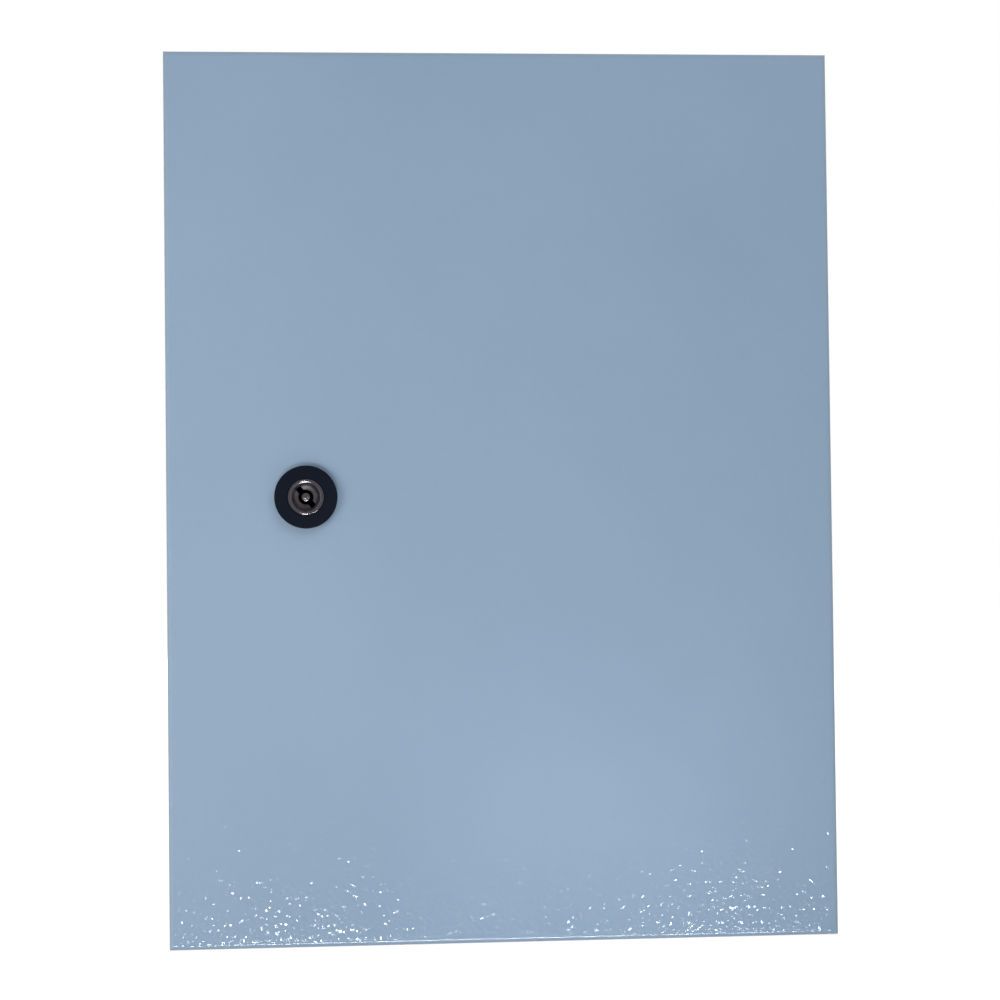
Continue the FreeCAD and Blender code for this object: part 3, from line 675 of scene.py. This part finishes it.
def roundedLoop(halfX, halfZ, radius, step):
    # points round the rectangle with their outward directions, from the left end of the bottom
    points = []

    def run(start, end):
        count = max(1, round((end - start).length / step))
        outward = backward.cross((end - start).normalized())
        for k in range(count):
            points.append((start.lerp(end, k / count), outward))

    def corner(centre, fromAngle):
        for k in range(8):
            angle = fromAngle + math.pi / 2 * k / 8
            outward = Vector((math.cos(angle), 0, math.sin(angle)))
            points.append((centre + outward * radius, outward))

    x, z = halfX - radius, halfZ - radius
    run(Vector((-x, 0, -halfZ)), Vector((x, 0, -halfZ)))
    corner(Vector((x, 0, -z)), -math.pi / 2)
    run(Vector((halfX, 0, -z)), Vector((halfX, 0, z)))
    corner(Vector((x, 0, z)), 0)
    run(Vector((x, 0, halfZ)), Vector((-x, 0, halfZ)))
    corner(Vector((-x, 0, z)), math.pi / 2)
    run(Vector((-halfX, 0, z)), Vector((-halfX, 0, -z)))
    corner(Vector((-x, 0, -z)), math.pi)
    return points


def makeDoorSeal():
    size = doorSeal
    crown, sides = size["dome"]
    wider, taller = size["joinSwell"]
    uneven = size["uneven"]
    shares = [-share for share in reversed(size["across"])] + [0, *size["across"]]
    rings = []
    for centre, outward in roundedLoop(size["halfX"], size["halfZ"], size["cornerRadius"], size["step"]):
        slow = noise.noise(centre * size["slowRate"])
        quick = noise.noise(centre * size["quickRate"] + Vector((5, 5, 5)))
        join = 0.0
        if centre.z < 0 and abs(centre.z + size["halfZ"]) < 1 * mm:
            join = math.exp(-((centre.x - size["joinAt"]) / size["joinLength"]) ** 2)
        half = size["width"] / 2 * (1 + uneven["slowWidth"] * slow + uneven["quickWidth"] * quick
                                    + wider * join)
        tall = size["height"] * (1 + uneven["slowHeight"] * slow + taller * join)
        wander = outward * (size["sway"] * noise.noise(centre * size["swayRate"] + Vector((9, 1, 3))))
        ring = []
        for share in shares:
            height = tall * max(0.0, 1 - abs(share) ** crown) ** sides
            press = size["imprintDepth"] * math.exp(-(share * half / size["imprintWidth"]) ** 2)
            place = centre + wander + outward * (share * half)
            place.y = size["base"] + max(0.0, height - press)
            ring.append(place)
        rings.append(ring)
    piece = finishPiece("doorSealFoamed", joinRings(rings, True), "seal_foam", "door", 60)
    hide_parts("door_gasket")


glandSeal = {
    "bulge": 0.45 * mm,
    "uneven": 0.5,
    "unevenRate": 90,
    "cornerRadius": 0.6 * mm,
    "step": 4 * mm,
    "levels": (0.0, 0.12, 0.5, 0.88, 1.0),   # shares of the thickness
}


def makeGlandSeal():
    # a cut foam strip, squeezed so that its sides belly out between the sheets
    size = glandSeal
    low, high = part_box("gland_gasket")
    inner = min(abs(vertex.co.x) for vertex in nodes["gland_gasket"].data.vertices)
    width = high.x - inner
    middle = (low + high) / 2
    halfX, halfY = high.x - width / 2, (high.y - low.y) / 2 - width / 2
    section = [(1, level) for level in size["levels"]] + [(-1, level) for level in reversed(size["levels"])]
    rings = []
    for centre, outward in roundedLoop(halfX, halfY, size["cornerRadius"], size["step"]):
        uneven = 1 + size["uneven"] * noise.noise(centre * size["unevenRate"])
        ring = []
        for side, level in section:
            belly = size["bulge"] * (1 - (2 * level - 1) ** 2) * uneven
            flat = centre + outward * (side * (width / 2 - size["bulge"] + belly))
            ring.append(Vector((middle.x + flat.x, middle.y + flat.z, low.z + (high.z - low.z) * level)))
        rings.append(ring)
    piece = finishPiece("glandSealStrip", joinRings(rings, True), "seal_foam", "enclosure", 45)
    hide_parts("gland_gasket")


# The quarter-turn lock

lockBody = {
    "head": 14 * mm,
    "headHeight": 4.4 * mm,
    "edge": 0.35 * mm,
    "foot": 0.3 * mm,   # chamfer next to the door
    "faceBore": 8.23 * mm,
    "boreEdge": 0.25 * mm,
    "shankBore": 6.08 * mm,
    "shoulder": -0.8 * mm,
    "barrel": 10.9 * mm,
    "barrelEnd": 20.6 * mm,
    "flats": 20 * mm,
    "pitch": 1.5 * mm,
    "headCount": 128,
    "barrelCount": 96,
}


def makeLockBody():
    size = lockBody
    front, edge, foot = -size["headHeight"], size["edge"], size["foot"]
    # the head with a rolled outer edge, and the bore's shoulder inside it
    profile = [(size["faceBore"], size["shoulder"]), (size["faceBore"], front + size["boreEdge"]),
               (size["faceBore"] + size["boreEdge"], front)]
    for k in range(7):
        angle = math.pi / 2 * k / 6
        profile.append((size["head"] - edge + edge * math.sin(angle), front + edge - edge * math.cos(angle)))
    profile += [(size["head"], -foot), (size["head"] - foot, 0.0), (size["shankBore"], 0.0),
                (size["shankBore"], size["shoulder"])]
    head = moved(turnedShape(profile, size["headCount"], True), towards(lockPlace, backward))
    piece = finishPiece("lockHeadTurned", head, "black_lock_body", "door", 40)
    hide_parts("lock_housing")


def makeBarrel():
    # the threaded barrel with two flats, hollow for the shank
    size = lockBody
    count, length = size["barrelCount"], size["barrelEnd"]
    place = towards(lockPlace, backward)
    work = bmesh.new()
    layRows(work, threadRows(size["barrel"], length, size["pitch"], count, size["flats"]), place)
    bore = [circlePoints(size["shankBore"], height, count) for height in (0.0, length)]
    layRows(work, [ring + ring[:1] for ring in bore], place)
    joinDoubles(work)
    for height in (0.0, length):
        level = lockPlace.y + height
        rims = [edge for edge in work.edges if edge.is_boundary
                and all(abs(vertex.co.y - level) < 1e-5 for vertex in edge.verts)]
        bmesh.ops.bridge_loops(work, edges=rims)
    threadedPiece("lockBarrelThreaded", work, "black_lock_body", "door")


lockInsert = {
    "socket": 3.2 * mm,
    "wing": 5.5 * mm,
    "wingHalf": 1.2 * mm,
    "wingTurn": 50,
    "pointStep": 0.12 * mm,
    "pin": 1.9 * mm,
    "pinTop": -3.6 * mm,
    "pinCrown": 20 * mm,
    "pinTilt": 0.12,
    "pinShares": (0.15, 0.4, 0.6, 0.75, 0.86, 0.92),
    "pinEdge": ((0.03 * mm, 0.38 * mm), (0.0, 0.55 * mm)),   # in from the side, back from the top
    "floor": 4.55 * mm,
    "socketEdge": ((0.0, 0.4 * mm), (0.04 * mm, 0.16 * mm), (0.13 * mm, 0.03 * mm)),   # out, and back
    "mouth": 5.1 * mm,
    "mouthBlend": 0.75 * mm,
    "mouthSlope": 0.9 / 1.9,
    "dish": -3.45 * mm,
    "dishStart": 0.2 * mm,
    "dishEnd": 6.38 * mm,
    "dishShares": (0.0, 0.15, 0.3, 0.45, 0.6, 0.75, 0.9, 1.0),
    # radius and height in millimetres: the inner edge and slope, the crest, the outer slope and edge
    "rim": ((6.46, -3.55), (6.5, -3.70), (6.58, -3.752), (6.8, -3.797), (7.05, -3.843), (7.2, -3.871),
            (7.3, -3.88), (7.4, -3.871), (7.55, -3.843), (7.8, -3.797), (8.0, -3.757), (8.11, -3.68),
            (8.15, -3.5)),
    "back": -0.9 * mm,
    "edge": 0.2 * mm,
    "shank": 6.0 * mm,
    "shankEnd": 20.7 * mm,
    "tailEnd": 23.1 * mm,
    "tailHalf": 4.0 * mm,
}


def socketOutline():
    # the key hole's edge: a circle with two opposite wings, its corners softened
    size = lockInsert
    leave = math.asin(size["wingHalf"] / size["socket"])
    root = size["socket"] * math.cos(leave)
    half = [Vector((root, -size["wingHalf"])), Vector((size["wing"], -size["wingHalf"])),
            Vector((size["wing"], size["wingHalf"])), Vector((root, size["wingHalf"]))]
    for k in range(1, 40):
        angle = leave + (math.pi - 2 * leave) * k / 40
        half.append(Vector((math.cos(angle), math.sin(angle))) * size["socket"])
    corners = half + [-point for point in half]
    points = []
    for start, end in zip(corners, corners[1:] + corners[:1]):
        count = max(1, round((end - start).length / size["pointStep"]))
        points += [start.lerp(end, k / count) for k in range(count)]
    for _ in range(3):
        points = [(points[k - 1] + points[k] * 2 + points[(k + 1) % len(points)]) / 4
                  for k in range(len(points))]
    turn = Matrix.Rotation(math.radians(size["wingTurn"]), 2)
    return [turn @ point for point in points]


def makeLockInsert():
    size = lockInsert
    edge = size["edge"]
    outline = socketOutline()
    count = len(outline)
    outward = []
    for k in range(count):
        along = (outline[(k + 1) % count] - outline[k - 1]).normalized()
        outward.append(Vector((along.y, -along.x)))

    def around(radius, height):
        return [(*(point.normalized() * radius), height) for point in outline]

    def faceHeight(radius):
        # flat dish that runs over into the socket's cone
        within = size["mouth"] - radius
        blend = size["mouthBlend"]
        depth = max(0.0, within) if abs(within) > blend else (within + blend) ** 2 / (4 * blend)
        return size["dish"] + depth * size["mouthSlope"]

    def beside(offset, sink, share=0.0):
        ring = []
        for point, normal in zip(outline, outward):
            place = point + normal * offset
            place = place.lerp(point.normalized() * size["dishEnd"], share)
            ring.append((*place, faceHeight(place.length) + sink))
        return ring

    def square(half, height):
        ring = []
        for point in outline:
            direction = point.normalized()
            ring.append((*(direction * half / max(abs(direction.x), abs(direction.y))), height))
        return ring

    # domed pin, socket, its cone and the dish, the rim's two slopes, shank and square tail
    rings = []
    for share in size["pinShares"]:
        radius = size["pin"] * share
        rings.append([(x, y, height + y * size["pinTilt"]) for x, y, height in
                      around(radius, size["pinTop"] + radius ** 2 / (2 * size["pinCrown"]))])
    rings += [around(size["pin"] - inward, size["pinTop"] + back) for inward, back in size["pinEdge"]]
    rings += [around(size["pin"], size["floor"]), [(*point, size["floor"]) for point in outline]]
    rings += [beside(offset, sink) for offset, sink in size["socketEdge"]]
    rings += [beside(size["dishStart"], 0, share) for share in size["dishShares"]]
    rings += [around(radius * mm, height * mm) for radius, height in size["rim"]]
    outer = size["rim"][-1][0] * mm
    rings += [around(outer, size["back"] - edge), around(outer - edge, size["back"]),
              around(size["shank"], size["back"]), around(size["shank"], size["shankEnd"] - edge),
              around(size["shank"] - edge, size["shankEnd"]),
              square(size["tailHalf"], size["shankEnd"]), square(size["tailHalf"], size["tailEnd"] - edge),
              square(size["tailHalf"] - edge, size["tailEnd"])]
    shape = moved(joinRings(rings, False), towards(lockPlace, backward))
    piece = finishPiece("lockInsertCast", shape, "dark_die_cast", "lock_core", 40)
    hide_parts("lock_insert")


camBolt = {
    "flats": 10 * mm,
    "height": 4 * mm,
    "bore": 2.8 * mm,
    "flange": 7.2 * mm,
    "flangeHeight": 1.3 * mm,
    "dish": ((2.8 * mm, 0.28 * mm), (2.4 * mm, 0.5 * mm), (0.5 * mm, 0.55 * mm)),   # radius and depth
}


def makeCamBolt():
    # a shallow dish with a rounded floor closes the bore
    place = towards((lockPlace.x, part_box("lock_cam")[1].y, 0), backward)
    dish = [(radius, camBolt["height"] - depth) for radius, depth in camBolt["dish"]]
    shapes = [nutShape(camBolt), turnedShape(dish, hexEdge["count"], False)]
    head = merged([moved(shape, place) for shape in shapes])
    piece = finishPiece("lockCamBoltHead", head, "zinc_fasteners", "lock_core", 30)
    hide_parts("lock_cam_bolt")


# Hinge pins with domed heads and a ring groove below the fork

pinShape = {
    "radius": 2.5 * mm,
    "length": 24 * mm,
    "head": 4 * mm,
    "headHeight": 1.5 * mm,
    "dome": ((0.1, 1), (0.55, 0.96), (0.85, 0.72), (1, 0.32), (1, 0)),   # shares of the head's two sizes
    "groove": (1.4 * mm, 0.8 * mm),   # from the pin's lower end
    "grooveDepth": 0.35 * mm,
    "tip": 0.4 * mm,
    "edge": 0.5 * mm,
    "count": 48,
}


def makeHingePins():
    size = pinShape
    end, radius = -size["length"], size["radius"]
    top, bottom = (end + height for height in size["groove"])
    profile = [(size["head"] * across, size["headHeight"] * up) for across, up in size["dome"]]
    profile += [(radius, 0.0), (radius, top), (radius - size["grooveDepth"], top),
                (radius - size["grooveDepth"], bottom), (radius, bottom), (radius, end + size["tip"]),
                (radius - size["edge"], end)]
    for name in ("upper", "lower"):
        node = f"hinge_{name}_pin"
        low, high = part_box(node)
        seat = Vector(((low.x + high.x) / 2, (low.y + high.y) / 2, high.z - size["headHeight"]))
        shape = moved(turnedShape(profile, size["count"], False), Matrix.Translation(seat))
        piece = finishPiece(f"hinge{name.capitalize()}PinTurned", shape, "zinc_fasteners", "enclosure", 35)
        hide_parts(node)


# Weld beads, laid as overlapping scales

beadForm = {"endSize": 0.12, "endLength": 0.55, "scaleDrop": 0.13, "lean": 0.35, "sway": 0.1, "swayRate": 400}


def beadShape(start, end, normal, width, height, sink, ripple):
    start, end, normal = Vector(start), Vector(end), Vector(normal).normalized()
    length = (end - start).length
    along = (end - start).normalized()
    side = along.cross(normal)
    steps = max(8, round(length / (ripple / 4)))
    rings = []
    for k in range(steps + 1):
        share = k / steps
        nearEnd = min(1.0, min(share, 1 - share) * length / (width * beadForm["endLength"]))
        taper = max(beadForm["endSize"], nearEnd) ** 0.5
        wave = 1 - beadForm["scaleDrop"] * (share * length / ripple % 1.0)
        sway = beadForm["sway"] * width * noise.noise((start + along * share * length) * beadForm["swayRate"])
        ring = []
        for step in range(9):
            angle = math.pi * step / 8
            lean = -ripple * beadForm["lean"] * math.sin(angle)
            point = (start + along * (share * length + lean * taper) + side * sway
                     + side * (math.cos(angle) * width / 2 * taper * (0.96 + 0.04 * wave))
                     + normal * (math.sin(angle) * height * taper * wave - sink))
            ring.append(point)
        rings.append(ring)
    return joinRings(rings, False)


rearWelds = {
    "length": 22 * mm,
    "upright": (-150, -75, 0, 75, 150),   # middles of the stitches, in millimetres
    "level": (-105, -35, 35, 105),
    "inset": 147.9 * mm,
    "insetZ": 197.9 * mm,
    "groove": -1.05 * mm,
    "bead": {"width": 2.0 * mm, "height": 0.95 * mm, "sink": 0.15 * mm, "ripple": 1.7 * mm},
}


def makeRearWelds():
    # stitches in the groove between the wrapper and the rear panel
    half, groove, bead = rearWelds["length"] / 2, rearWelds["groove"], rearWelds["bead"]
    shapes = []
    for side in (-1, 1):
        for place in rearWelds["upright"]:
            x, z = side * rearWelds["inset"], place * mm
            shapes.append(beadShape((x, groove, z - half), (x, groove, z + half), backward, **bead))
        for place in rearWelds["level"]:
            x, z = place * mm, side * rearWelds["insetZ"]
            shapes.append(beadShape((x - half, groove, z), (x + half, groove, z), backward, **bead))
    finishPiece("rearStitchWelds", merged(shapes), "blue_grey_coat", "enclosure", 50)


flangeSeams = {
    "flange": -182 * mm,
    "from": (123.5 * mm, 173.5 * mm),
    "to": (147.6 * mm, 197.6 * mm),
    "bead": {"width": 2.6 * mm, "height": 0.22 * mm, "sink": 0.04 * mm, "ripple": 1.2 * mm},
    "lipCorner": (121.75 * mm, 171.75 * mm),
    "lipFoot": 0.4 * mm,
    "lipHeight": 9.2 * mm,
    "lipBead": {"width": 1.3 * mm, "height": 0.75 * mm, "sink": 0.2 * mm, "ripple": 1.1 * mm},
}


def makeFlangeSeams():
    # dressed welds along the mitres of the front flange, and small beads up the lip's corners
    size = flangeSeams
    shapes = []
    for side in (-1, 1):
        for level in (-1, 1):
            start, end = (Vector((side * x, size["flange"], level * z))
                          for x, z in (size["from"], size["to"]))
            shapes.append(beadShape(start, end, -backward, **size["bead"]))
            x, z = size["lipCorner"]
            foot = Vector((side * x, size["flange"] - size["lipFoot"], level * z))
            top = foot - backward * size["lipHeight"]
            shapes.append(beadShape(foot, top, Vector((side, 0, level)), **size["lipBead"]))
    finishPiece("frontSeamWelds", merged(shapes), "blue_grey_coat", "enclosure", 50)


hingeWelds = {
    "flange": -182.1 * mm,
    "ends": (0.8 * mm, 8.0 * mm),   # from the foot's left edge
    "gap": 0.2 * mm,
    "bead": {"width": 2.6 * mm, "height": 1.25 * mm, "sink": 0.15 * mm, "ripple": 1.7 * mm},
}


def makeHingeWelds():
    # fillet beads above and below each hinge's foot
    shapes = []
    for name in ("upper", "lower"):
        low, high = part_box(f"hinge_{name}_bracket")
        for level, sign in ((low.z, -1), (high.z, 1)):
            start, end = (Vector((low.x + x, hingeWelds["flange"], level + sign * hingeWelds["gap"]))
                          for x in hingeWelds["ends"])
            shapes.append(beadShape(start, end, Vector((0, -1, sign)), **hingeWelds["bead"]))
    finishPiece("hingeFootWelds", merged(shapes), "blue_grey_coat", "enclosure", 50)


# Finer edges and finishes for the frame's own pieces

edgeRadii = {
    "hinge_upper_bracket": 0.35 * mm,
    "hinge_lower_bracket": 0.35 * mm,
    "door_hinge_upper": 0.3 * mm,
    "door_hinge_lower": 0.3 * mm,
    "lock_cam": 0.3 * mm,
    "mounting_plate": 0.25 * mm,
    "gland_plate": 0.2 * mm,
}


def finishFrame():
    for node, piece in nodes.items():
        mesh = piece.data
        mesh.materials.clear()
        mesh.materials.append(materials["doorCoat" if node == "door_panel" else slotOf[node]])
        if node in edgeRadii:
            if "custom_normal" in mesh.attributes:
                mesh.attributes.remove(mesh.attributes["custom_normal"])
            mesh.shade_smooth()
            weld = piece.modifiers.new("closeCorners", "WELD")
            weld.merge_threshold = 1e-6
            bevel = piece.modifiers.new("brokenEdges", "BEVEL")
            bevel.width = edgeRadii[node]
            bevel.segments = 2
            bevel.limit_method = "ANGLE"
            bevel.angle_limit = math.radians(32)
            evened = piece.modifiers.new("evenShading", "WEIGHTED_NORMAL")
            evened.weight = 90


# Floor, world and lamps

studio = {
    "floorSize": 8,
    "floorGrey": 0.62,
    "floorGlow": 0.82,
    "floorGap": 0.3 * mm,
    "ambient": 0.35,
    "cardGrey": 0.30,
    "cardPlace": -4.0,
    "cardHalf": 3.0,
    "cardTop": 12.0,
}

# the low lamp and the softboxes only light; the glints and the edge strip are only mirrored, in the
# coat's peel and in the door's lower fold
lamps = {
    "lowLamp": {"place": (-0.19, -2.2, -0.85), "size": 0.12, "watts": 12.8, "unseen": "visible_glossy"},
    "leftGlint": {"place": (-0.17, -2.2, -0.71), "size": 0.068, "watts": 0.76, "unseen": "visible_diffuse"},
    "rightGlint": {"place": (0.46, -2.2, -0.70), "size": 0.06, "watts": 0.6, "unseen": "visible_diffuse"},
    "middleGlint": {"place": (0.13, -2.2, -0.70), "size": 0.035, "watts": 0.2,
                    "unseen": "visible_diffuse"},
    "edgeStrip": {"place": (0.16, -2.2, -1.70), "size": 0.95, "high": 0.3, "watts": 31,
                  "unseen": "visible_diffuse"},
    "leftFill": {"place": (-0.38, -0.62, -0.10), "size": 0.3, "watts": 1.35, "tint": (1.0, 0.87, 0.78),
                 "unseen": "visible_glossy"},
    "lowFill": {"place": (0.05, -0.32, -0.185), "size": 0.1, "watts": 0.075, "tint": (1.0, 0.94, 0.9),
                "unseen": "visible_glossy"},
    "topSoftbox": {"place": (0.25, -1.1, 0.85), "size": 1.0, "watts": 5.3, "unseen": "visible_glossy"},
    "rearSoftbox": {"place": (-0.7, 2.0, 0.8), "size": 1.4, "watts": 24, "unseen": "visible_glossy"},
}


def stageSheet(name, corners):
    # one rectangle, and the node tree of a material of its own with nothing on its surface yet
    mesh = bpy.data.meshes.new(name)
    mesh.from_pydata(corners, [], [(0, 1, 2, 3)])
    sheet = bpy.data.objects.new(name, mesh)
    scene.collection.objects.link(sheet)
    material = bpy.data.materials.new(name)
    material.use_nodes = True
    mesh.materials.append(material)
    tree = material.node_tree
    tree.nodes.clear()
    return sheet, tree, tree.nodes.new("ShaderNodeOutputMaterial").inputs["Surface"]


def directRays(tree):
    # 1 for what the camera sees, straight, mirrored or through glass
    path = tree.nodes.new("ShaderNodeLightPath")
    either = mathNode(tree, "MAXIMUM", path.outputs["Is Camera Ray"], path.outputs["Is Glossy Ray"])
    return mathNode(tree, "MAXIMUM", either, path.outputs["Is Transmission Ray"])


def mixShaders(tree, share, first, second):
    node = tree.nodes.new("ShaderNodeMixShader")
    for socket, value in zip(node.inputs, (share, first, second)):
        tree.links.new(value, socket)
    return node.outputs[0]


def makeFloor():
    half = studio["floorSize"] / 2
    level = cadBox[0].z - studio["floorGap"]
    floor, tree, surface = stageSheet("studioFloor", [(-half, -half, level), (half, -half, level),
                                                      (half, half, level), (-half, half, level)])
    floor.visible_shadow = False   # lets the low lamps through
    floor.visible_glossy = False   # and their mirror images
    diffuse = tree.nodes.new("ShaderNodeBsdfDiffuse")
    diffuse.inputs["Color"].default_value = (studio["floorGrey"],) * 3 + (1,)
    glow = tree.nodes.new("ShaderNodeEmission")
    glow.inputs["Strength"].default_value = studio["floorGlow"]
    both = tree.nodes.new("ShaderNodeAddShader")
    tree.links.new(diffuse.outputs[0], both.inputs[0])
    tree.links.new(glow.outputs[0], both.inputs[1])
    seen = mixShaders(tree, directRays(tree), diffuse.outputs[0], both.outputs[0])
    # see-through from below
    clear = tree.nodes.new("ShaderNodeBsdfTransparent").outputs[0]
    backside = tree.nodes.new("ShaderNodeNewGeometry").outputs["Backfacing"]
    tree.links.new(mixShaders(tree, backside, seen, clear), surface)


def makeCard():
    # a grey card far behind the camera, there only for what is mirrored in the door and the metal
    half, place, top = studio["cardHalf"], studio["cardPlace"], studio["cardTop"]
    card, tree, surface = stageSheet("greyCard", [(-half, place, -half), (half, place, -half),
                                                  (half, place, top), (-half, place, top)])
    for unseen in ("camera", "diffuse", "transmission", "volume_scatter", "shadow"):
        setattr(card, "visible_" + unseen, False)
    glow = tree.nodes.new("ShaderNodeEmission")
    glow.inputs["Color"].default_value = (studio["cardGrey"],) * 3 + (1,)
    tree.links.new(glow.outputs[0], surface)


def makeWorld():
    world = bpy.data.worlds.new("studioWorld")
    world.use_nodes = True
    tree = world.node_tree
    background = tree.nodes["Background"]
    colour = blendColours(tree, directRays(tree), (studio["ambient"],) * 3, (1.0, 1.0, 1.0))
    tree.links.new(colour, background.inputs["Color"])
    background.inputs["Strength"].default_value = 1.0
    scene.world = world


def makeLamps():
    aim = Vector((0, -0.1, 0))
    for name, lamp in lamps.items():
        light = bpy.data.lights.new(name, "AREA")
        light.size = lamp["size"]
        if "high" in lamp:
            light.shape = "RECTANGLE"
            light.size_y = lamp["high"]
        light.energy = lamp["watts"]
        light.color = lamp.get("tint", (1, 1, 1))
        source = bpy.data.objects.new(name, light)
        source.location = lamp["place"]
        source.rotation_euler = (aim - source.location).to_track_quat("-Z", "Y").to_euler()
        source.visible_camera = False
        setattr(source, lamp["unseen"], False)
        scene.collection.objects.link(source)


scene.view_settings.view_transform = "Standard"
makeCamera()
print("camera placed")
materials = makeMaterials()
finishFrame()
print("materials on the frame's pieces")
makeStuds()
makeNuts()
makeSpacers()
makeHingePins()
makeCamBolt()
print("fasteners built")
makeDoorSeal()
makeGlandSeal()
print("seals built")
makeLockBody()
makeBarrel()
makeLockInsert()
print("lock built")
makeRearWelds()
makeFlangeSeams()
makeHingeWelds()
print("welds laid")
makeFloor()
makeCard()
makeWorld()
makeLamps()
print("studio lit")
